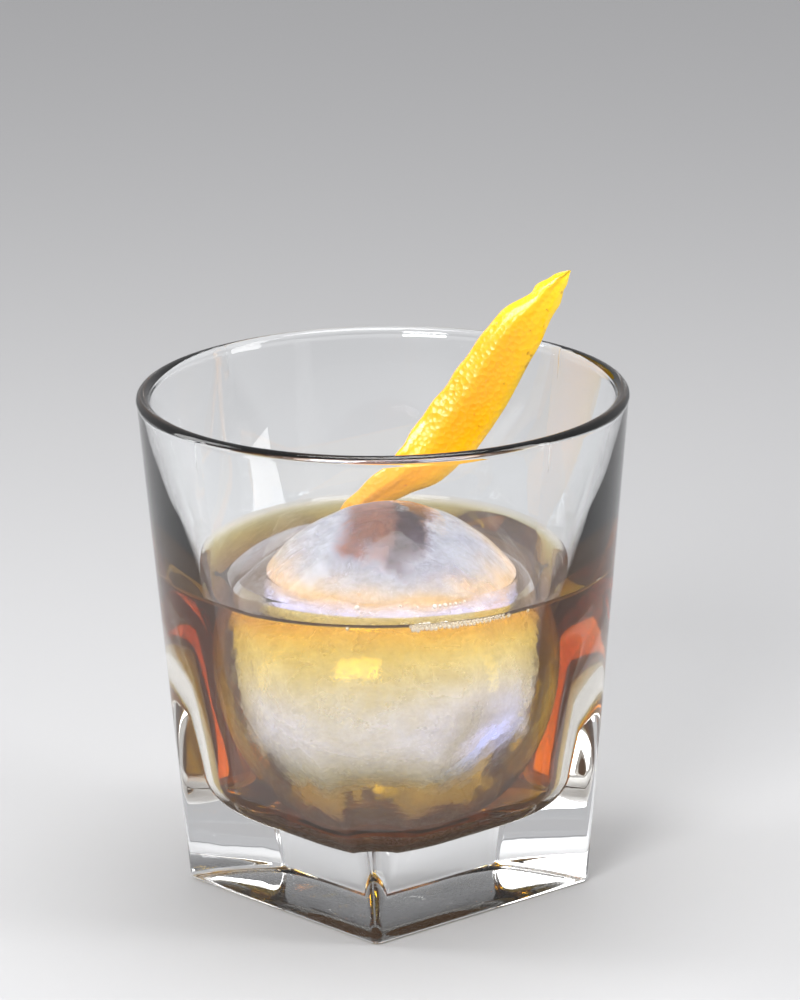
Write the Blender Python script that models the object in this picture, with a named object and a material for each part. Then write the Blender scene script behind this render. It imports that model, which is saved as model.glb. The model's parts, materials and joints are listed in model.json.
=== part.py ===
"""An old fashioned cocktail in its square-footed tumbler.

The tumbler is round at the rim and square at the foot, with a round bowl pressed into it.
It holds a drink up to the fill line, one large ice ball and a strip of orange peel.
Units are metres, +Z is up, and the origin is the middle of the foot on the table.
One corner of the square foot points along -Y.
"""

import math

import bmesh
import bpy
from mathutils import Vector
from mathutils.geometry import interpolate_bezier

# Tumbler, outside
GLASS_HEIGHT = 0.0890
RIM_RADIUS = 0.0425
FOOT_CORNER_REACH = 0.0347
FOOT_CORNER_RADIUS = 0.0015
FOOT_EDGE_RADIUS = 0.0009
RECESS_CORNER_REACH = 0.0292
RECESS_CORNER_RADIUS = 0.0105
RECESS_DEPTH = 0.0014

# Tumbler, inside
RIM_WALL = 0.0023
BOWL_LOW_HEIGHT = 0.0200
BOWL_LOW_WALL = 0.0034
BOWL_CORNER_FILL = 0.0120
BOWL_TURN_SCALE = 0.95
BOWL_TURN_PULL = 0.7
FLOOR_SCALE = 0.50
FLOOR_HEIGHT = 0.0142

# Contents
FILL_HEIGHT = 0.0570
ICE_RADIUS = 0.0256
ICE_HALF_HEIGHT = 0.0266
ICE_SIDEWAYS = 0.0009
ICE_FORWARD = 0.0029
ICE_MELT = 0.0002
PEEL_THICKNESS = 0.0018
PEEL_WIDTH = 0.0122
PEEL_SAG = 0.0012
PEEL_EDGE_THINNING = 0.35
GAP = 0.0003

# The middle line of the peel, from the tip down into the drink
PEEL_LINE = (
    (0.0311, 0.0306, 0.1019),
    (0.0269, 0.0299, 0.0965),
    (0.0215, 0.0288, 0.0903),
    (0.0147, 0.0280, 0.0799),
    (0.0099, 0.0277, 0.0728),
    (0.0054, 0.0268, 0.0670),
    (0.0003, 0.0259, 0.0630),
    (-0.0056, 0.0252, 0.0587),
    (-0.0098, 0.0248, 0.0533),
)
PEEL_WIDTHS = (0.03, 0.42, 0.74, 0.98, 1.04, 1.00, 0.80, 0.55, 0.20)
PEEL_ROLLS = (-6, -6, -4, 0, 6, 14, 22, 22, 10)

# Fineness of the meshes, and the angle in degrees from which an edge is drawn sharp
SHARP_ANGLE = 40
POINTS_PER_QUARTER = 12
ICE_SEGMENTS = 36
PEEL_STEPS_PER_SPAN = 3
PEEL_POINTS_ACROSS = 6


def clear_scene():
    for obj in list(bpy.data.objects):
        bpy.data.objects.remove(obj, do_unlink=True)


def material(name, colour, roughness, transmission=0.0, ior=1.45):
    made = bpy.data.materials.new(name)
    made.use_nodes = True
    shader = made.node_tree.nodes["Principled BSDF"]
    shader.inputs["Base Color"].default_value = (*colour, 1.0)
    shader.inputs["Roughness"].default_value = roughness
    shader.inputs["Metallic"].default_value = 0.0
    shader.inputs["Transmission Weight"].default_value = transmission
    shader.inputs["IOR"].default_value = ior
    return made


def mix(low, high, share):
    return low + (high - low) * share


def ease(share):
    """From 0 to 1 with a level start and end."""
    return share * share * (3 - 2 * share)


def object_from(shape, name, its_material=None):
    """Turns a bmesh into a smooth-shaded object with its faces pointing out."""
    bmesh.ops.recalc_face_normals(shape, faces=shape.faces)
    mesh = bpy.data.meshes.new(name)
    shape.to_mesh(mesh)
    shape.free()
    mesh.shade_smooth()
    mesh.set_sharp_from_angle(angle=math.radians(SHARP_ANGLE))
    obj = bpy.data.objects.new(name, mesh)
    bpy.context.scene.collection.objects.link(obj)
    if its_material:
        mesh.materials.append(its_material)
    return obj


def loft(rings, name, its_material=None):
    """Joins rings of equally many points, and closes the first and the last with a fan."""
    shape = bmesh.new()
    loops = [[shape.verts.new(point) for point in ring] for ring in rings]
    for lower, upper in zip(loops, loops[1:]):
        for index, corner in enumerate(lower):
            following = (index + 1) % len(lower)
            shape.faces.new((corner, lower[following], upper[following], upper[index]))
    for loop in (loops[0], loops[-1]):
        middle = shape.verts.new(sum((vert.co for vert in loop), Vector()) / len(loop))
        for index, corner in enumerate(loop):
            shape.faces.new((corner, loop[(index + 1) % len(loop)], middle))
    return object_from(shape, name, its_material)


def make_cutter(obj):
    obj.hide_render = True
    obj.display_type = "WIRE"
    return obj


def cut(obj, cutter):
    boolean = obj.modifiers.new("Cut " + cutter.name, "BOOLEAN")
    boolean.operation = "DIFFERENCE"
    boolean.object = cutter


# Tumbler


def square_ring(reach, corner_radius, height):
    """A square with round corners, one of them towards -Y, that reach this far out."""
    points = []
    for quarter in range(4):
        corner = math.radians(90) * quarter
        middle = Vector((math.cos(corner), math.sin(corner), 0)) * (reach - corner_radius)
        for step in range(POINTS_PER_QUARTER):
            share = (step + 0.5) / POINTS_PER_QUARTER
            turn = corner + math.radians(90) * (share - 0.5)
            out = Vector((math.cos(turn), math.sin(turn), 0)) * corner_radius
            points.append(middle + out + Vector((0, 0, height)))
    return points


def round_ring(radius, height):
    return square_ring(radius, radius, height)


def wall_size(height):
    """(reach, radius) of the outer corners: they open out into the circle of the rim."""
    share = height / GLASS_HEIGHT
    reach = mix(FOOT_CORNER_REACH, RIM_RADIUS, share)
    return reach, mix(FOOT_CORNER_RADIUS, RIM_RADIUS, ease(share))


def wall_ring(height, inward=0.0):
    reach, corner_radius = wall_size(height)
    return square_ring(reach - inward, corner_radius - inward, height)


def recess_rings(steps=4):
    """The shallow dish under the foot: it leaves a pad in each corner to stand on."""
    rings = []
    for step in range(1, steps + 1):
        share = step / steps
        reach = RECESS_CORNER_REACH * share
        height = RECESS_DEPTH * (1 - share**4)
        rings.append(square_ring(reach, RECESS_CORNER_RADIUS * share, height))
    return rings


def foot_edge_rings(steps=3):
    """The rounded edge from the flat underside up into the wall."""
    rings = []
    for step in range(steps):
        turn = math.radians(90) * step / steps
        height = FOOT_EDGE_RADIUS * (1 - math.cos(turn))
        rings.append(wall_ring(height, FOOT_EDGE_RADIUS * (1 - math.sin(turn))))
    return rings


def outer_wall_rings(steps=10):
    top = GLASS_HEIGHT - RIM_WALL / 2
    return [wall_ring(mix(FOOT_EDGE_RADIUS, top, step / steps)) for step in range(steps)]


def rim_rings(steps=6):
    """The fire-polished lip, half round from the outer wall to the bowl."""
    half = RIM_WALL / 2
    rings = []
    for step in range(steps + 1):
        turn = math.radians(180) * step / steps
        radius = RIM_RADIUS - half + half * math.cos(turn)
        rings.append(round_ring(radius, GLASS_HEIGHT - half + half * math.sin(turn)))
    return rings


def bowl_size(height):
    """(reach, radius) of the bowl's corners: the wall thickens towards the floor."""
    lip = GLASS_HEIGHT - RIM_WALL / 2
    share = (height - BOWL_LOW_HEIGHT) / (lip - BOWL_LOW_HEIGHT)
    reach, corner_radius = wall_size(height)
    face = reach / math.sqrt(2) + corner_radius * (1 - math.sqrt(0.5))
    wall = mix(BOWL_LOW_WALL, RIM_WALL, share)
    own_radius = corner_radius - wall + BOWL_CORNER_FILL * ease(1 - share)
    face -= wall
    return (face - own_radius) * math.sqrt(2) + own_radius, own_radius


def bowl_rings(top, inward=0.0, side_steps=8, curve_steps=7):
    """Down the bowl's side and round into its floor."""
    rings = []
    for step in range(side_steps):
        height = mix(top, BOWL_LOW_HEIGHT, step / side_steps)
        reach, corner_radius = bowl_size(height)
        rings.append(square_ring(reach - inward, corner_radius - inward, height))
    start = Vector((1.0, BOWL_LOW_HEIGHT, 0))
    turn = Vector((BOWL_TURN_SCALE, FLOOR_HEIGHT + inward, 0))
    end = Vector((FLOOR_SCALE, FLOOR_HEIGHT + inward, 0))
    first_handle = start.lerp(turn, BOWL_TURN_PULL)
    second_handle = end.lerp(turn, BOWL_TURN_PULL)
    curve = interpolate_bezier(start, first_handle, second_handle, end, curve_steps)
    reach, corner_radius = bowl_size(BOWL_LOW_HEIGHT)
    for point in curve:
        across = (reach - inward) * point.x
        rings.append(square_ring(across, (corner_radius - inward) * point.x, point.y))
    return rings


def tumbler():
    glass = material("clear_glass", (0.98, 0.99, 1.0), 0.02, transmission=1.0, ior=1.52)
    top = GLASS_HEIGHT - RIM_WALL / 2
    bowl = bowl_rings(top)[1:]
    rings = recess_rings() + foot_edge_rings() + outer_wall_rings() + rim_rings() + bowl
    return loft(rings, "tumbler", glass)


# Ice ball


def ice_shape(name, extra, its_material=None):
    """A ball a little worn by melting, grown by extra for cutting the drink."""
    shape = bmesh.new()
    bmesh.ops.create_uvsphere(
        shape, u_segments=ICE_SEGMENTS, v_segments=ICE_SEGMENTS // 2, radius=1.0
    )
    for vert in shape.verts:
        x, y, z = vert.co.normalized()
        # Gentle waves, from -1.6 where least has melted to 1.6 where most has
        wear = math.sin(3 * x + 1) * math.cos(2.5 * y) + 0.6 * math.sin(4 * z + 2 * x)
        across = ICE_RADIUS + extra - ICE_MELT * (1 + wear / 1.6)
        vert.co = (x * across, y * across, z * (ICE_HALF_HEIGHT + extra))
    rest = FLOOR_HEIGHT + GAP + ICE_HALF_HEIGHT
    bmesh.ops.translate(shape, verts=shape.verts, vec=(ICE_SIDEWAYS, -ICE_FORWARD, rest))
    return object_from(shape, name, its_material)


def ice_ball():
    ice = material("ice", (0.88, 0.91, 0.94), 0.12, transmission=0.6, ior=1.31)
    return ice_shape("ice_ball", 0.0, ice)


# Orange peel


def peel_middle():
    """(place, width, roll) down the peel, evenly eased between the named places."""
    places = [Vector(place) for place in PEEL_LINE]
    found = []
    for span in range(len(places) - 1):
        before = places[max(span - 1, 0)]
        start, end = places[span], places[span + 1]
        after = places[min(span + 2, len(places) - 1)]
        first_handle = start + (end - before) / 6
        second_handle = end - (after - start) / 6
        curve = interpolate_bezier(
            start, first_handle, second_handle, end, PEEL_STEPS_PER_SPAN + 1
        )
        for step in range(PEEL_STEPS_PER_SPAN):
            share = step / PEEL_STEPS_PER_SPAN
            width = mix(PEEL_WIDTHS[span], PEEL_WIDTHS[span + 1], ease(share))
            roll = mix(PEEL_ROLLS[span], PEEL_ROLLS[span + 1], ease(share))
            found.append((curve[step], width * PEEL_WIDTH, math.radians(roll)))
    found.append((places[-1], PEEL_WIDTHS[-1] * PEEL_WIDTH, math.radians(PEEL_ROLLS[-1])))
    return found


def peel_ring(middle, along, width, roll, extra):
    """One cross-section: skin to the front, pith behind, bowed like the fruit."""
    side = along.cross(Vector((0, -1, 0))).normalized()
    front = side.cross(along).normalized()
    side, front = (
        side * math.cos(roll) + front * math.sin(roll),
        front * math.cos(roll) - side * math.sin(roll),
    )
    skin = []
    pith = []
    for step in range(PEEL_POINTS_ACROSS):
        across = 2 * step / (PEEL_POINTS_ACROSS - 1) - 1
        bow = -PEEL_SAG * across * across * width / PEEL_WIDTH
        half = PEEL_THICKNESS / 2 * (1 - PEEL_EDGE_THINNING * across * across) + extra
        spot = middle + side * across * (width / 2 + extra)
        skin.append(spot + front * (bow + half))
        pith.append(spot + front * (bow - half))
    return skin + pith[::-1]


def peel_shape(name, extra, its_material=None):
    line = peel_middle()
    rings = []
    for index, (middle, width, roll) in enumerate(line):
        before = line[max(index - 1, 0)][0]
        after = line[min(index + 1, len(line) - 1)][0]
        along = (before - after).normalized()
        rings.append(peel_ring(middle, along, width, roll, extra))
    rings[-1] = [point - along * extra for point in rings[-1]]
    return loft(rings, name, its_material)


def orange_peel():
    zest = material("orange_zest", (0.95, 0.50, 0.02), 0.35)
    return peel_shape("orange_peel", 0.0, zest)


# Drink


def drink():
    """The whiskey: it fills the bowl to the line, cut round the ice and the peel."""
    amber = material("whiskey", (0.75, 0.33, 0.05), 0.0, transmission=1.0, ior=1.36)
    filling = loft(bowl_rings(FILL_HEIGHT, inward=GAP, side_steps=5), "whiskey", amber)
    cut(filling, make_cutter(ice_shape("ice_room", GAP)))
    cut(filling, make_cutter(peel_shape("peel_room", GAP)))
    return filling


clear_scene()
tumbler()
ice_ball()
orange_peel()
drink()
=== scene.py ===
"""An old fashioned cocktail: a square-footed tumbler, the drink in it, one large ice ball and a strip of
orange peel. Everything is in metres, +Z is up, and one corner of the square foot points along -Y."""

import json
import math

import bmesh
import bpy
from mathutils import Matrix, Vector
from mathutils.geometry import interpolate_bezier

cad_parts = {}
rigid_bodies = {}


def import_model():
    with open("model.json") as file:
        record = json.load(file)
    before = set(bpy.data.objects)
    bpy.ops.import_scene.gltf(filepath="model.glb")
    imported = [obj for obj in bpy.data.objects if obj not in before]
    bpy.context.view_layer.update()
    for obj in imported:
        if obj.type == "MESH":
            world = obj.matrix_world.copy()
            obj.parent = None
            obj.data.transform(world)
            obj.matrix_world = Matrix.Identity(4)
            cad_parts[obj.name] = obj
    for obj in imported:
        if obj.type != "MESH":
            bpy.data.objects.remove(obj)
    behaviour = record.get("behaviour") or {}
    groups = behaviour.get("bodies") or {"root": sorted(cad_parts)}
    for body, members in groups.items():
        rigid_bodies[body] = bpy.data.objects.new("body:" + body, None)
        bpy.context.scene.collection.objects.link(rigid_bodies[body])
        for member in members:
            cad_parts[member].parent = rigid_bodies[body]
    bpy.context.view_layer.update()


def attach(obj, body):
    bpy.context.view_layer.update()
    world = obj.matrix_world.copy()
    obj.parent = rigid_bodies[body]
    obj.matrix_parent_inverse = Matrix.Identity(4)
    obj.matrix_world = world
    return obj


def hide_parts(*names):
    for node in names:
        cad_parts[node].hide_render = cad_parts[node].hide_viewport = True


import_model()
bpy.ops.object.select_all(action="DESELECT")


# ---- The tumbler ----------------------------------------------------------------------------------
# Clear pressed glass, 89 mm high. It is round at the rim and flows down into a square foot, and its bowl
# is rounder than its outside, so the glass is thickest low down in the corners. It stands on four corner
# pads, left by a shallow dish under the foot.

GLASS_HEIGHT = 0.0890
RIM_RADIUS = 0.0425
RIM_WALL = 0.0023
FOOT_REACH = 0.0347
FOOT_CORNER = 0.0015
FOOT_EDGE = 0.0009
DISH_REACH = 0.0292
DISH_CORNER = 0.0105
DISH_DEPTH = 0.0014
BOWL_LOW = 0.0200
BOWL_LOW_WALL = 0.0034
BOWL_CORNER_FILL = 0.0120
BOWL_FLOOR = 0.0142
BOWL_FLOOR_SHARE = 0.50
BOWL_TURN_START = 0.965
BOWL_TURN_SCALE = 0.95
BOWL_TURN_PULL = 0.7
BOWL_TURN_DROP = 0.3
BOWL_FLOOR_STEPS = 7
CORNER_STEPS = 28
CORNER_FIT = 0.9995
SMOOTH_BELOW = 40
LIP = GLASS_HEIGHT - RIM_WALL / 2


def mix(low, high, share):
    return low + (high - low) * share


def ease(share):
    """The share, with a slow start and a slow end."""
    return share * share * (3 - 2 * share)


def start_piece(name):
    """A new empty mesh, open for editing, whose levels are numbered as they are drawn."""
    bpy.ops.object.select_all(action="DESELECT")
    bpy.ops.mesh.primitive_plane_add(enter_editmode=True, align="WORLD", location=(0, 0, 0))
    bpy.ops.mesh.delete(type="VERT")
    piece = bpy.context.object
    piece.name = name
    bmesh.from_edit_mesh(piece.data).verts.layers.int.new("level")
    return piece


def skin_to_last(piece):
    """Numbers the level that is selected, and bridges it to the level before."""
    shape = bmesh.from_edit_mesh(piece.data)
    level = shape.verts.layers.int["level"]
    last = max(vert[level] for vert in shape.verts)
    for vert in shape.verts:
        if vert.select:
            vert[level] = last + 1
    for vert in shape.verts:
        vert.select = vert[level] in (last, last + 1)
    shape.select_flush(True)
    bmesh.update_edit_mesh(piece.data)
    if last:
        bpy.ops.mesh.bridge_edge_loops()
    bpy.ops.mesh.select_all(action="DESELECT")


def square_level(piece, height, reach, corner):
    """One level of the tumbler or the drink: a square on its corner, whose corners are rounded off."""
    sharp = reach + corner * (math.sqrt(2) - 1)
    bpy.ops.mesh.primitive_circle_add(vertices=4, radius=sharp, location=(0, 0, height))
    bpy.ops.mesh.bevel(
        affect="VERTICES", offset_type="OFFSET", offset=corner * CORNER_FIT, segments=CORNER_STEPS,
        clamp_overlap=False,
    )
    skin_to_last(piece)


def close_piece(piece, smooth_angle=SMOOTH_BELOW):
    """Closes the two ends, turns the faces out and shades the piece smooth."""
    bpy.ops.mesh.select_all(action="SELECT")
    bpy.ops.mesh.fill_holes(sides=0)
    bpy.ops.mesh.select_all(action="SELECT")
    bpy.ops.mesh.normals_make_consistent(inside=False)
    bpy.ops.object.mode_set(mode="OBJECT")
    bpy.ops.object.shade_smooth_by_angle(angle=math.radians(smooth_angle))


def outer_size(height):
    """(reach of the corners, radius of their rounding) of the glass's outside at a height."""
    share = height / GLASS_HEIGHT
    return mix(FOOT_REACH, RIM_RADIUS, share), mix(FOOT_CORNER, RIM_RADIUS, ease(share))


def bowl_size(height):
    """The same for the inside, above the turn into the floor."""
    share = (height - BOWL_LOW) / (LIP - BOWL_LOW)
    reach, corner = outer_size(height)
    wall = mix(BOWL_LOW_WALL, RIM_WALL, share)
    face = reach / math.sqrt(2) + corner * (1 - math.sqrt(0.5)) - wall
    own_corner = corner - wall + BOWL_CORNER_FILL * ease(1 - share)
    return (face - own_corner) * math.sqrt(2) + own_corner, own_corner


def bowl_curve(steps=22):
    """The curve from the bowl's side into its floor, as (share of the reach, share of the drop left)."""
    curve = []
    for step in range(steps + 1):
        turn = step / steps
        back = 1 - turn
        out = back**3 + 3 * back**2 * turn * BOWL_TURN_START
        out += 3 * back * turn**2 * mix(BOWL_FLOOR_SHARE, BOWL_TURN_SCALE, BOWL_TURN_PULL)
        curve.append((out + turn**3 * BOWL_FLOOR_SHARE, back**3 + 3 * back**2 * turn * BOWL_TURN_DROP))
    inward = range(BOWL_FLOOR_STEPS - 1, 0, -1)
    return curve + [(BOWL_FLOOR_SHARE * step / BOWL_FLOOR_STEPS, 0) for step in inward]


tumbler = start_piece("tumbler_glass")
for step in range(1, 13):
    share = step / 12
    square_level(tumbler, DISH_DEPTH * (1 - share**4), DISH_REACH * share, DISH_CORNER * share)
for step in range(9):
    turn = math.radians(90) * step / 8
    height = FOOT_EDGE * (1 - math.cos(turn))
    reach, corner = outer_size(height)
    pulled_in = FOOT_EDGE * (1 - math.sin(turn))
    square_level(tumbler, height, reach - pulled_in, corner - pulled_in)
wall_heights = [FOOT_EDGE + rise for rise in (0.0003, 0.0009)]
wall_heights += [mix(FOOT_EDGE + 0.0018, LIP - 0.0014, step / 48) for step in range(49)]
wall_heights += [LIP - drop for drop in (0.0007, 0.0002)]
for height in wall_heights:
    square_level(tumbler, height, *outer_size(height))
for step in range(17):
    turn = math.radians(180) * step / 16
    reach = RIM_RADIUS - RIM_WALL / 2 * (1 - math.cos(turn))
    square_level(tumbler, LIP + RIM_WALL / 2 * math.sin(turn), reach, reach)
bowl_heights = [LIP - drop for drop in (0.0002, 0.0007)]
bowl_heights += [mix(LIP - 0.0014, BOWL_LOW, step / 48) for step in range(48)]
for height in bowl_heights:
    square_level(tumbler, height, *bowl_size(height))
reach, corner = bowl_size(BOWL_LOW)
for out, up in bowl_curve():
    square_level(tumbler, mix(BOWL_FLOOR, BOWL_LOW, up), reach * out, corner * out)
close_piece(tumbler)


def start_material(name, settings):
    """A new material whose shader has these plain settings, with its nodes, its links and its shader."""
    material = bpy.data.materials.new(name)
    material.use_nodes = True
    principled = material.node_tree.nodes["Principled BSDF"]
    for label, setting in settings.items():
        principled.inputs[label].default_value = setting
    return material, material.node_tree.nodes, material.node_tree.links, principled


def noise(scale, detail=2.0, roughness=0.5, distortion=0.0):
    """A noise that lies still in the object, in the material that is being made."""
    pattern = nodes.new("ShaderNodeTexNoise")
    pattern.inputs["Scale"].default_value = scale
    pattern.inputs["Detail"].default_value = detail
    pattern.inputs["Roughness"].default_value = roughness
    pattern.inputs["Distortion"].default_value = distortion
    links.new(place.outputs["Object"], pattern.inputs["Vector"])
    return pattern.outputs["Fac"]


def rescaled(value, low, high, to_low, to_high, clamp=True):
    """The value, moved from one range of numbers to another."""
    between = nodes.new("ShaderNodeMapRange")
    between.clamp = clamp
    links.new(value, between.inputs["Value"])
    for label, number in (("From Min", low), ("From Max", high), ("To Min", to_low), ("To Max", to_high)):
        between.inputs[label].default_value = number
    return between.outputs["Result"]


def combined(kind, first, second):
    """Two values added or multiplied."""
    result = nodes.new("ShaderNodeMath")
    result.operation = kind
    links.new(first, result.inputs[0])
    links.new(second, result.inputs[1])
    return result.outputs["Value"]


def add_bump(height, strength, distance):
    """Relief on the material that is being made."""
    bump = nodes.new("ShaderNodeBump")
    bump.inputs["Strength"].default_value = strength
    bump.inputs["Distance"].default_value = distance
    links.new(height, bump.inputs["Height"])
    links.new(bump.outputs["Normal"], shader.inputs["Normal"])


glass, nodes, links, shader = start_material("pressed_glass", {
    "Base Color": (0.985, 0.995, 1.0, 1), "Transmission Weight": 1.0, "IOR": 1.52,
})
place = nodes.new("ShaderNodeTexCoord")
heights = nodes.new("ShaderNodeSeparateXYZ")
links.new(place.outputs["Object"], heights.inputs["Vector"])
add_bump(noise(45, 1.5), 0.25, 0.0004)
scuffed = rescaled(heights.outputs["Z"], 0.0002, 0.0, 0.0, 0.5)
links.new(combined("MULTIPLY", scuffed, noise(900, 4)), shader.inputs["Roughness"])
tumbler.data.materials.append(glass)
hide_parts("tumbler")
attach(tumbler, "root")


# ---- The ice ball ---------------------------------------------------------------------------------
# One moulded ball of ice, 51 mm across and slightly taller, that rests on the floor of the bowl. It is
# clear in its skin and low down, and milky with trapped air in the middle.

ICE_RADIUS = 0.0256
ICE_HALF_HEIGHT = 0.0266
ICE_SIDEWAYS = 0.0009
ICE_FORWARD = 0.0029
ICE_OFF_FLOOR = 0.0003
ICE_MIDDLE = BOWL_FLOOR + ICE_OFF_FLOOR + ICE_HALF_HEIGHT
ICE_SLACK = 0.0001
FILL_HEIGHT = 0.0570
MELT_START = 0.0018
MELT_FULL = 0.0080

bpy.ops.mesh.primitive_uv_sphere_add(
    segments=128, ring_count=64, radius=1, location=(ICE_SIDEWAYS, -ICE_FORWARD, ICE_MIDDLE),
    scale=(ICE_RADIUS - ICE_SLACK, ICE_RADIUS - ICE_SLACK, ICE_HALF_HEIGHT),
)
ice = bpy.context.object
ice.name = "ice_clear"
bpy.ops.object.transform_apply(location=True, rotation=True, scale=True)
dry = ice.vertex_groups.new(name="above_the_drink")
for vert in ice.data.vertices:
    share = (vert.co.z - FILL_HEIGHT - MELT_START) / MELT_FULL
    dry.add([vert.index], min(max(share, 0), 1), "REPLACE")
melt = bpy.data.textures.new("melt", "CLOUDS")
melt.noise_scale = 0.010
dimples = ice.modifiers.new("Melt", "DISPLACE")
dimples.texture = melt
dimples.texture_coords = "LOCAL"
dimples.vertex_group = "above_the_drink"
dimples.mid_level = 0.62
dimples.strength = 0.0012
bpy.ops.object.modifier_apply(modifier="Melt")
bpy.ops.object.shade_smooth()

clear_ice, nodes, links, shader = start_material("clear_ice", {
    "Base Color": (0.97, 0.985, 1.0, 1), "Transmission Weight": 1.0, "IOR": 1.31,
    "Specular IOR Level": 0.25, "Roughness": 0.03,
})
place = nodes.new("ShaderNodeTexCoord")
add_bump(noise(260, 5), 0.30, 0.0006)
ice.data.materials.append(clear_ice)
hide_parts("ice_ball")
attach(ice, "root")


# ---- The milky middle of the ice ------------------------------------------------------------------
# Air trapped as the ball froze. It is drawn as thin shells inside one another, each with gaps, so that
# its edge fades out into the clear ice. It is nearly solid in the middle and clear low down at the front
# and right. A small window in the crown is painted brown and dark, for the drink and the shade seen
# through clear ice there, and the cloud has a painted glow that stands in for light scattered inside the
# ice.

CLOUD_RADIUS = 0.0238
CLOUD_HALF_HEIGHT = 0.0230
CLOUD_MIDDLE = 0.0430
CLOUD_SHELLS = (1.0, 0.95, 0.89, 0.82, 0.74)
WHITE_MIDDLE = (ICE_SIDEWAYS, -ICE_FORWARD, 0.0440)
CLEAR_PLACES = (  # (middle, radius, clearness)
    ((0.0180, -0.0130, 0.0245), 0.0130, 2.6),
    ((0.0000, -0.0120, 0.0140), 0.0145, 2.2),
)
NEAR_WALL = (0.0165, -0.0195, 0.0320)
WISP_LOW = 0.3
WISP_HIGH = 0.7
WINDOW_EDGE = 0.0018

bpy.ops.object.select_all(action="DESELECT")
for number, size in enumerate(CLOUD_SHELLS):
    bpy.ops.mesh.primitive_uv_sphere_add(
        segments=72, ring_count=36, radius=1, location=(ICE_SIDEWAYS, -ICE_FORWARD, CLOUD_MIDDLE),
        scale=(CLOUD_RADIUS * size, CLOUD_RADIUS * size, CLOUD_HALF_HEIGHT * size),
    )
    shell = bpy.context.object
    shell.name = "ice_cloud_%d" % number
bpy.ops.object.select_pattern(pattern="ice_cloud_*", extend=False)
bpy.context.view_layer.objects.active = bpy.data.objects["ice_cloud_0"]
bpy.ops.object.join()
cloud = bpy.context.object
cloud.name = "ice_cloud"
bpy.ops.object.transform_apply(location=True, rotation=True, scale=True)
lumps = bpy.data.textures.new("cloud_lumps", "CLOUDS")
lumps.noise_scale = 0.011
swell = cloud.modifiers.new("Lumps", "DISPLACE")
swell.texture = lumps
swell.texture_coords = "LOCAL"
swell.mid_level = 0.55
swell.strength = 0.004
bpy.ops.object.modifier_apply(modifier="Lumps")
bpy.ops.object.shade_smooth()

milky, nodes, links, shader = start_material("milky_ice", {
    "Roughness": 0.8, "Specular IOR Level": 0.1, "Subsurface Weight": 1.0, "Subsurface Scale": 0.004,
    "Subsurface Radius": (1, 1, 1), "Emission Strength": 1.0,
})
place = nodes.new("ShaderNodeTexCoord")


def away_from(middle, upright=1):
    """How far each point is from a place in the ice or, with upright 0, from the upright line there."""
    flattened = nodes.new("ShaderNodeVectorMath")
    flattened.operation = "MULTIPLY"
    links.new(place.outputs["Object"], flattened.inputs[0])
    flattened.inputs[1].default_value = (1, 1, upright)
    gap = nodes.new("ShaderNodeVectorMath")
    gap.operation = "DISTANCE"
    links.new(flattened.outputs["Vector"], gap.inputs[0])
    gap.inputs[1].default_value = (middle[0], middle[1], middle[2] * upright)
    return gap.outputs["Value"]


def blend(share, under, color):
    """Lays one plain colour over another by a share."""
    layer = nodes.new("ShaderNodeMix")
    layer.data_type = "RGBA"
    links.new(share, layer.inputs["Factor"])
    links.new(under, layer.inputs[6])
    layer.inputs[7].default_value = (*color, 1)
    return layer.outputs[2]


def color_steps(value, stops):
    """Colours that run from one stop to the next as the value goes from 0 to 1."""
    ramp = nodes.new("ShaderNodeValToRGB")
    links.new(value, ramp.inputs["Fac"])
    elements = ramp.color_ramp.elements
    for number, (stop, color) in enumerate(stops):
        point = elements[number] if number < 2 else elements.new(stop)
        point.position = stop
        point.color = (*color, 1)
    return ramp.outputs["Color"]


# How thick the cloud is: less towards its edge, in the ball's skin and in the clear places, and uneven.
wisps = noise(170, 6, 0.65, 0.25)
thickness = rescaled(away_from(WHITE_MIDDLE), 0.0174, 0.0248, 1.05, 0.0, clamp=False)
changes = [rescaled(wisps, WISP_LOW, WISP_HIGH, -0.5, 0.5)]
changes.append(rescaled(away_from(WHITE_MIDDLE, 0), 0.0198, 0.0236, 0.0, -1.3))
for middle, radius, clearness in CLEAR_PLACES:
    changes.append(rescaled(away_from(middle), 0.0, radius, -clearness, 0.0))
for change in changes:
    thickness = combined("ADD", thickness, change)
thickness.node.use_clamp = True
links.new(thickness, shader.inputs["Alpha"])

# Its glow is painted light, standing in for light scattered inside the ice. It changes with height, and
# painted shade makes it weaker where the ball comes nearest the glass.
heights = nodes.new("ShaderNodeSeparateXYZ")
links.new(place.outputs["Object"], heights.inputs["Vector"])
painted_glow = color_steps(rescaled(heights.outputs["Z"], 0.0150, 0.0690, 0.0, 1.0), (
    (0.06, (0.02, 0.02, 0.03)), (0.17, (0.05, 0.06, 0.08)), (0.30, (0.21, 0.22, 0.41)),
    (0.46, (0.28, 0.29, 0.57)), (0.65, (0.43, 0.40, 0.48)), (0.76, (0.58, 0.32, 0.02)),
    (0.79, (0.07, 0.07, 0.10)), (0.94, (0.02, 0.012, 0.010)),
))
near_wall_shade = rescaled(away_from(NEAR_WALL), 0.0120, 0.0060, 0.0, 0.8)
links.new(blend(near_wall_shade, painted_glow, (0.13, 0.12, 0.10)), shader.inputs["Emission Color"])
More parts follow.
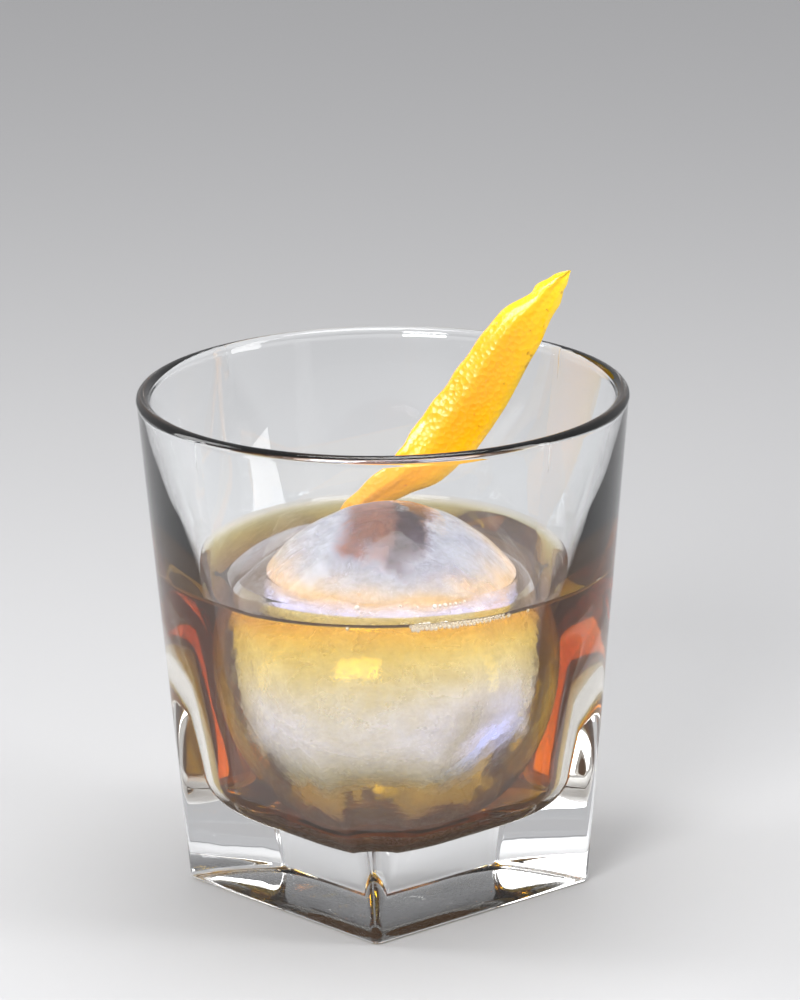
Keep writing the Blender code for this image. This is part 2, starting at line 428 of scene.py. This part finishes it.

# Its colour: white, greyed by painted shade where the ball comes nearest the glass, with an uneven window
# in the crown painted brown for the drink seen through clear ice there, and painted dark as shade on its
# right side.
white = nodes.new("ShaderNodeRGB")
white.outputs[0].default_value = (0.84, 0.87, 0.98, 1)
uneven = rescaled(wisps, WISP_LOW, WISP_HIGH, -WINDOW_EDGE, WINDOW_EDGE)
sideways = combined("ADD", heights.outputs["X"], uneven)
up = combined("ADD", heights.outputs["Z"], uneven)
from_left = rescaled(sideways, -0.0075, -0.0045, 0.0, 1.0)
from_right = rescaled(sideways, 0.0085, 0.0062, 0.0, 1.0)
painted_window = combined("MULTIPLY", from_left, from_right)
painted_window = combined("MULTIPLY", painted_window, rescaled(up, 0.0600, 0.0628, 0.0, 0.93))
painted_dark_side = combined("MULTIPLY", painted_window, rescaled(sideways, 0.0012, 0.0024, 0.0, 1.0))
# Painted shade greys the white near the glass; the window's brown and its dark right side are painted.
coloring = blend(near_wall_shade, white.outputs[0], (0.74, 0.71, 0.64))
coloring = blend(painted_window, coloring, (0.40, 0.14, 0.05))
coloring = blend(painted_dark_side, coloring, (0.04, 0.015, 0.010))
links.new(coloring, shader.inputs["Base Color"])
cloud.data.materials.append(milky)
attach(cloud, "root")


# ---- The drink ------------------------------------------------------------------------------------
# Whiskey and bitters, filled to 57 mm. The liquid is one body from the bowl's wall to the ice, which it
# wets, so its level climbs a little up the glass and up the ice.

WALL_BITE = 0.0001
ICE_BITE = 0.00012
CLIMB = 0.0011
ICE_CLIMB = 0.00015
CLIMB_LENGTH = 0.0007
CLIMB_BEND = 0.8

drink = start_piece("drink")
reach, corner = bowl_size(BOWL_LOW)
for out, up in reversed(bowl_curve()):
    low = mix(BOWL_FLOOR - WALL_BITE, BOWL_LOW, up)
    square_level(drink, low, (reach + WALL_BITE) * out, (corner + WALL_BITE) * out)
top = FILL_HEIGHT + CLIMB
for step in range(1, 33):
    height = mix(BOWL_LOW, top, step / 32)
    reach, corner = bowl_size(height)
    square_level(drink, height, reach + WALL_BITE, corner + WALL_BITE)
reach, corner = bowl_size(FILL_HEIGHT)
for inward in (0.0001, 0.0003, 0.0006, 0.0010, 0.0015, 0.0021, 0.0028, 0.0036):
    height = FILL_HEIGHT + CLIMB * math.exp(-inward / CLIMB_LENGTH) * CLIMB_BEND
    square_level(drink, height, reach - inward, corner - inward)


def ice_reach(height, grow):
    """How far the ice reaches out at a height, when its surface is moved out by grow."""
    share = min(abs(height - ICE_MIDDLE) / (ICE_HALF_HEIGHT + grow), 1)
    return (ICE_RADIUS - ICE_SLACK + grow) * math.sqrt(1 - share * share)


def level_by_ice(off_ice):
    """The height of the drink's surface at a distance from the ice."""
    return FILL_HEIGHT + ICE_CLIMB * math.exp(-off_ice / CLIMB_LENGTH)


def round_level(piece, height, radius):
    """One level round the ice: a circle with as many points as the square levels have."""
    middle = (ICE_SIDEWAYS, -ICE_FORWARD, height)
    bpy.ops.mesh.primitive_circle_add(vertices=4 * (CORNER_STEPS + 1), radius=radius, location=middle)
    skin_to_last(piece)


wet_line = ice_reach(FILL_HEIGHT + ICE_CLIMB, -ICE_BITE)
for outward in (0.0060, 0.0040, 0.0028, 0.0020, 0.0014, 0.0009, 0.0005, 0.0002):
    round_level(drink, level_by_ice(outward), wet_line + outward)
wet_turn = math.asin((FILL_HEIGHT + ICE_CLIMB - ICE_MIDDLE) / ICE_HALF_HEIGHT)
for step in range(41):
    turn = mix(wet_turn, math.radians(-88), step / 40)
    height = ICE_MIDDLE + (ICE_HALF_HEIGHT - ICE_BITE) * math.sin(turn)
    round_level(drink, height, (ICE_RADIUS - ICE_SLACK - ICE_BITE) * math.cos(turn))
close_piece(drink)

# The faint amber emission is a painted glow that deepens the drink's colour at its sides and bottom.
amber, nodes, links = start_material("whiskey_amber", {
    "Base Color": (1, 1, 1, 1), "Transmission Weight": 1.0, "IOR": 1.36, "Roughness": 0.0,
    "Emission Color": (0.016, 0.006, 0.0, 1), "Emission Strength": 1.0,
})[:3]
absorb = nodes.new("ShaderNodeVolumeAbsorption")
absorb.inputs["Color"].default_value = (0.885, 0.765, 0.03, 1)
absorb.inputs["Density"].default_value = 290
links.new(absorb.outputs["Volume"], nodes["Material Output"].inputs["Volume"])
drink.data.materials.append(amber)
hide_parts("whiskey")
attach(drink, "root")


# ---- The bubbles ----------------------------------------------------------------------------------
# Air in the surface of the drink, drawn milky so that it shows at its size. A chain of foam clings to the
# glass at the front right, two bubbles deep, and single bubbles stay near the line where the ice meets the
# drink.

CHAIN_LENGTH = 46
CHAIN_OFF_GLASS = 0.00004
CHAIN_TOP = 0.0004
SINGLE_OFF_GLASS = 0.0007
BUBBLE_RISE = 0.6
SIZE_STEP = 0.618


def around(turn, from_middle, sideways, forward):
    """The place at an angle from -Y, in degrees, and a distance from an upright line."""
    turn = math.radians(turn)
    return sideways + from_middle * math.sin(turn), forward - from_middle * math.cos(turn)


reach, corner = bowl_size(FILL_HEIGHT)
bubbles = []
for number in range(CHAIN_LENGTH):
    share = number / (CHAIN_LENGTH - 1)
    size = mix(0.00042, 0.00022, share) * (0.75 + 0.5 * (number * SIZE_STEP % 1))
    spot = around(mix(11, 40, share), corner - size - CHAIN_OFF_GLASS, 0, corner - reach)
    bubbles.append((*spot, FILL_HEIGHT + CHAIN_TOP - size * (1.6 if number % 2 else 0.2), size))
for turn, size in ((-7, 0.00030), (42, 0.00045), (50, 0.00032)):
    spot = around(turn, corner - SINGLE_OFF_GLASS, 0, corner - reach)
    bubbles.append((*spot, FILL_HEIGHT, size))
round_the_ice = [(-10, 0.0026, 0.00045), (8, 0.0012, 0.00022), (15, 0.0020, 0.00026)]
for number in range(7):
    share = number / 6
    size = mix(0.00040, 0.00022, share) - 0.00006 * (number % 2)
    round_the_ice.append((mix(22, 37, share), mix(0.0025, 0.0016, share), size))
for turn, off_ice, size in round_the_ice:
    spot = around(turn, wet_line + off_ice, ICE_SIDEWAYS, -ICE_FORWARD)
    bubbles.append((*spot, level_by_ice(off_ice), size))
for number, (x, y, level, size) in enumerate(bubbles):
    middle = (x, y, level + size * BUBBLE_RISE)
    bpy.ops.mesh.primitive_uv_sphere_add(segments=10, ring_count=6, radius=size, location=middle)
    bpy.context.object.name = "bubble_%d" % number
bpy.ops.object.select_pattern(pattern="bubble_*", extend=False)
bpy.ops.object.join()
foam = bpy.context.object
foam.name = "foam_bubbles"
bpy.ops.object.transform_apply(location=True, rotation=True, scale=True)
bpy.ops.object.shade_smooth()

# The bubbles have a faint painted glow, so that they show pale on the drink.
film = start_material("bubble_film", {
    "Base Color": (1.0, 0.95, 0.90, 1), "Transmission Weight": 0.10, "IOR": 1.42, "Roughness": 0.10,
    "Emission Color": (0.18, 0.14, 0.11, 1), "Emission Strength": 1.0,
})[0]
foam.data.materials.append(film)
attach(foam, "root")


# ---- The orange peel ------------------------------------------------------------------------------
# A strip pared from an orange with a knife: waxy skin full of pores on the side towards -Y, pale pith
# behind. It leans on the rim, passes behind the ice and ends in the drink.

# (place, width, roll in degrees) from the tip down into the drink
PEEL_POINTS = (
    ((0.0312, 0.0306, 0.1022), 0.0003, -6),
    ((0.0290, 0.0303, 0.1001), 0.0034, -6),
    ((0.0264, 0.0300, 0.0968), 0.0060, -6),
    ((0.0210, 0.0289, 0.0902), 0.0100, -4),
    ((0.0147, 0.0280, 0.0800), 0.0116, 0),
    ((0.0098, 0.0277, 0.0729), 0.0124, 6),
    ((0.0054, 0.0268, 0.0670), 0.0122, 14),
    ((0.0003, 0.0259, 0.0630), 0.0098, 22),
    ((-0.0056, 0.0252, 0.0587), 0.0063, 22),
    ((-0.0098, 0.0248, 0.0533), 0.0024, 10),
)
PEEL_STEPS = 7
PEEL_THICKNESS = 0.0018
PEEL_BOW = 0.0012
PEEL_BOW_WIDTH = 0.0122
PEEL_CREST = 0.3
PEEL_THINS_BELOW = 0.0040
PEEL_BODY_SHARE = 0.95
PEEL_EDGE_SHARE = 0.55
PEEL_EDGE_FROM = 0.8
NO_DEPTH = 1e-4
NOTCH_DOWN = 0.0073
NOTCH_LENGTH = 0.0008
NOTCH_DEPTH = 0.0004
EDGE_WAVE = 0.00015
EDGE_WAVE_LENGTH = 0.0011


def peel_sections():
    """(place, width, roll) at even steps down the strip, eased from one named place to the next."""
    places = [Vector(point[0]) for point in PEEL_POINTS]
    sections = []
    for span in range(len(places) - 1):
        start, end = places[span], places[span + 1]
        before, after = places[max(span - 1, 0)], places[min(span + 2, len(places) - 1)]
        leaving, arriving = start + (end - before) / 6, end - (after - start) / 6
        curve = interpolate_bezier(start, leaving, arriving, end, PEEL_STEPS + 1)
        for step in range(PEEL_STEPS):
            share = ease(step / PEEL_STEPS)
            width = mix(PEEL_POINTS[span][1], PEEL_POINTS[span + 1][1], share)
            roll = mix(PEEL_POINTS[span][2], PEEL_POINTS[span + 1][2], share)
            sections.append((curve[step], width, roll))
    return sections + [(places[-1], *PEEL_POINTS[-1][1:])]


peel = start_piece("orange_peel_strip")
for label in ("across", "skin"):
    bmesh.from_edit_mesh(peel.data).verts.layers.float.new(label)
sections = peel_sections()
down = 0.0
for number, (middle, width, roll) in enumerate(sections):
    before = sections[max(number - 1, 0)][0]
    after = sections[min(number + 1, len(sections) - 1)][0]
    along = (before - after).normalized()
    side = along.cross(Vector((0, -1, 0))).normalized()
    front = side.cross(along).normalized()
    turned = Matrix.Rotation(math.radians(roll), 3, along)
    side, front = turned @ side, turned @ front
    facing = Matrix((side, front, -along)).transposed()
    down += (middle - before).length
    pared_in = NOTCH_DEPTH * math.exp(-(((down - NOTCH_DOWN) / NOTCH_LENGTH) ** 2))
    fullness = min(width / PEEL_THINS_BELOW, 1)
    pared_in += EDGE_WAVE * math.sin(down / EDGE_WAVE_LENGTH) * fullness
    bpy.ops.mesh.primitive_circle_add(vertices=12, radius=0.5, location=(0, 0, 0))
    shape = bmesh.from_edit_mesh(peel.data)
    across_layer, skin_layer = shape.verts.layers.float["across"], shape.verts.layers.float["skin"]
    for vert in shape.verts:
        if vert.select:
            across = vert.co.x * 2
            vert[across_layer] = across
            vert[skin_layer] = 1.0 if vert.co.y > -NO_DEPTH else 0.0
            bow = -PEEL_BOW * (across + PEEL_CREST) ** 2 * width / PEEL_BOW_WIDTH
            body = PEEL_EDGE_SHARE if abs(across) > PEEL_EDGE_FROM else PEEL_BODY_SHARE
            thick = PEEL_THICKNESS * body * fullness
            aside = across * width / 2 - pared_in * min(across, 0)
            local = Vector((aside, bow + thick * (0.5 if vert.co.y > 0 else -0.5), 0))
            if abs(vert.co.y) < NO_DEPTH:
                local.y = bow
            vert.co = middle + facing @ local
    bmesh.update_edit_mesh(peel.data)
    skin_to_last(peel)
close_piece(peel, 180)
rounded = peel.modifiers.new("Rounded", "SUBSURF")
rounded.levels = rounded.render_levels = 2
bpy.ops.object.modifier_apply(modifier="Rounded")

zest, nodes, links, shader = start_material("orange_zest", {
    "Roughness": 0.30, "Coat Weight": 0.5, "Coat Roughness": 0.12, "Emission Strength": 1.0,
})
place = nodes.new("ShaderNodeTexCoord")
across_strip = nodes.new("ShaderNodeAttribute")
across_strip.attribute_name = "across"
skin_side = nodes.new("ShaderNodeAttribute")
skin_side.attribute_name = "skin"
rind = color_steps(rescaled(across_strip.outputs["Fac"], -1.0, 1.0, 0.0, 1.0), (
    (0.0, (1.0, 0.43, 0.002)), (0.62, (1.0, 0.40, 0.001)),
    (0.80, (1.0, 0.50, 0.001)), (0.97, (1.0, 0.60, 0.003)),
))
heights = nodes.new("ShaderNodeSeparateXYZ")
links.new(place.outputs["Object"], heights.inputs["Vector"])
near_tip = rescaled(heights.outputs["Z"], 0.0900, 0.1020, 0.0, 0.75)
brown_marks = rescaled(noise(520), 0.67, 0.74, 0.0, 0.65)
pith_side = rescaled(skin_side.outputs["Fac"], 0.45, 0.25, 0.0, 1.0)
coloring = blend(near_tip, rind, (1.0, 0.74, 0.004))
coloring = blend(brown_marks, coloring, (0.45, 0.16, 0.004))
coloring = blend(pith_side, coloring, (0.93, 0.80, 0.52))
links.new(coloring, shader.inputs["Base Color"])
# Painted glow on the low part of the strip, behind the glass and in the drink, standing in for the lamp
# light that the glass keeps off it.
low_strip_painted_glow = color_steps(rescaled(heights.outputs["Z"], 0.0700, 0.0800, 0.0, 1.0), (
    (0.0, (0.26, 0.11, 0.001)), (1.0, (0, 0, 0)),
))
links.new(low_strip_painted_glow, shader.inputs["Emission Color"])
pores = nodes.new("ShaderNodeTexVoronoi")
pores.inputs["Scale"].default_value = 1100
links.new(place.outputs["Object"], pores.inputs["Vector"])
crease = nodes.new("ShaderNodeValToRGB")
crease.color_ramp.interpolation = "EASE"
links.new(rescaled(across_strip.outputs["Fac"], -0.75, 0.15, 0.0, 1.0), crease.inputs["Fac"])
crease.color_ramp.elements[0].color = (0, 0, 0, 1)
crease.color_ramp.elements[1].color = (0, 0, 0, 1)
crest = crease.color_ramp.elements.new(0.45)
crest.color = (1, 1, 1, 1)
relief = nodes.new("ShaderNodeMath")
relief.operation = "MULTIPLY_ADD"
links.new(pores.outputs["Distance"], relief.inputs[0])
relief.inputs[1].default_value = 0.35
links.new(crease.outputs["Color"], relief.inputs[2])
add_bump(relief.outputs["Value"], 1.0, 0.00045)
peel.data.materials.append(zest)
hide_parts("orange_peel")
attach(peel, "root")


# ---- The setting ----------------------------------------------------------------------------------
# A plain pale floor, soft studio light from both sides, above and in front, and the camera, which looks
# down a little from far away.

FLOOR_SIZE = 6
FLOOR_BELOW = 0.0001
LAMPS_AIM = Vector((0, 0, 0.045))
CAMERA_AIM = Vector((0.002746, 0, 0.06913))
CAMERA_DISTANCE = 1.4366
CAMERA_LENS = 374.4
CAMERA_PITCH = math.radians(16.39)
CAMERA_ROLL = math.radians(-0.70)
CAMERA_TURN = math.radians(3.615)

bpy.ops.mesh.primitive_plane_add(size=FLOOR_SIZE, location=(0, 0, -FLOOR_BELOW))
floor = bpy.context.object
floor.name = "floor"
pale = start_material("pale_floor", {"Base Color": (0.50, 0.50, 0.505, 1), "Roughness": 0.6})[0]
floor.data.materials.append(pale)
bpy.context.scene.view_settings.view_transform = "Standard"

world = bpy.data.worlds.new("studio")
bpy.context.scene.world = world
world.use_nodes = True
background = world.node_tree.nodes["Background"]
background.inputs["Color"].default_value = (0.82, 0.82, 0.84, 1)
background.inputs["Strength"].default_value = 0.60

for name, place_of, size, power in (
    ("key_left", (-0.50, 0.05, 0.30), (0.18, 0.50), 1.5),
    ("key_right", (0.50, -0.12, 0.30), (0.16, 0.50), 1.5),
    ("top", (0.02, 0.02, 0.50), (0.26, 0.26), 1.3),
    ("front", (-0.34, -1.02, 0.62), (0.45, 0.45), 12.5),
):
    lamp = bpy.data.lights.new(name, "AREA")
    lamp.shape = "RECTANGLE"
    lamp.size, lamp.size_y = size
    lamp.energy = power
    lamp_object = bpy.data.objects.new(name, lamp)
    bpy.context.scene.collection.objects.link(lamp_object)
    lamp_object.location = place_of
    aim = LAMPS_AIM - Vector(place_of)
    lamp_object.rotation_euler = aim.to_track_quat("-Z", "Y").to_euler()

forward = Vector((0, math.cos(CAMERA_PITCH), -math.sin(CAMERA_PITCH)))
upward = Vector((1, 0, 0)).cross(forward)
stand = CAMERA_AIM - CAMERA_DISTANCE * forward
right = math.cos(CAMERA_ROLL) * Vector((1, 0, 0)) + math.sin(CAMERA_ROLL) * upward
above = -math.sin(CAMERA_ROLL) * Vector((1, 0, 0)) + math.cos(CAMERA_ROLL) * upward
seen = Matrix((right, above, -forward)).transposed().to_4x4()
seen.translation = stand
lens = bpy.data.cameras.new("camera")
lens.sensor_fit = "HORIZONTAL"
lens.sensor_width = 36
lens.lens = CAMERA_LENS
camera = bpy.data.objects.new("camera", lens)
bpy.context.scene.collection.objects.link(camera)
camera.matrix_world = Matrix.Rotation(CAMERA_TURN, 4, "Z") @ seen
bpy.context.scene.camera = camera
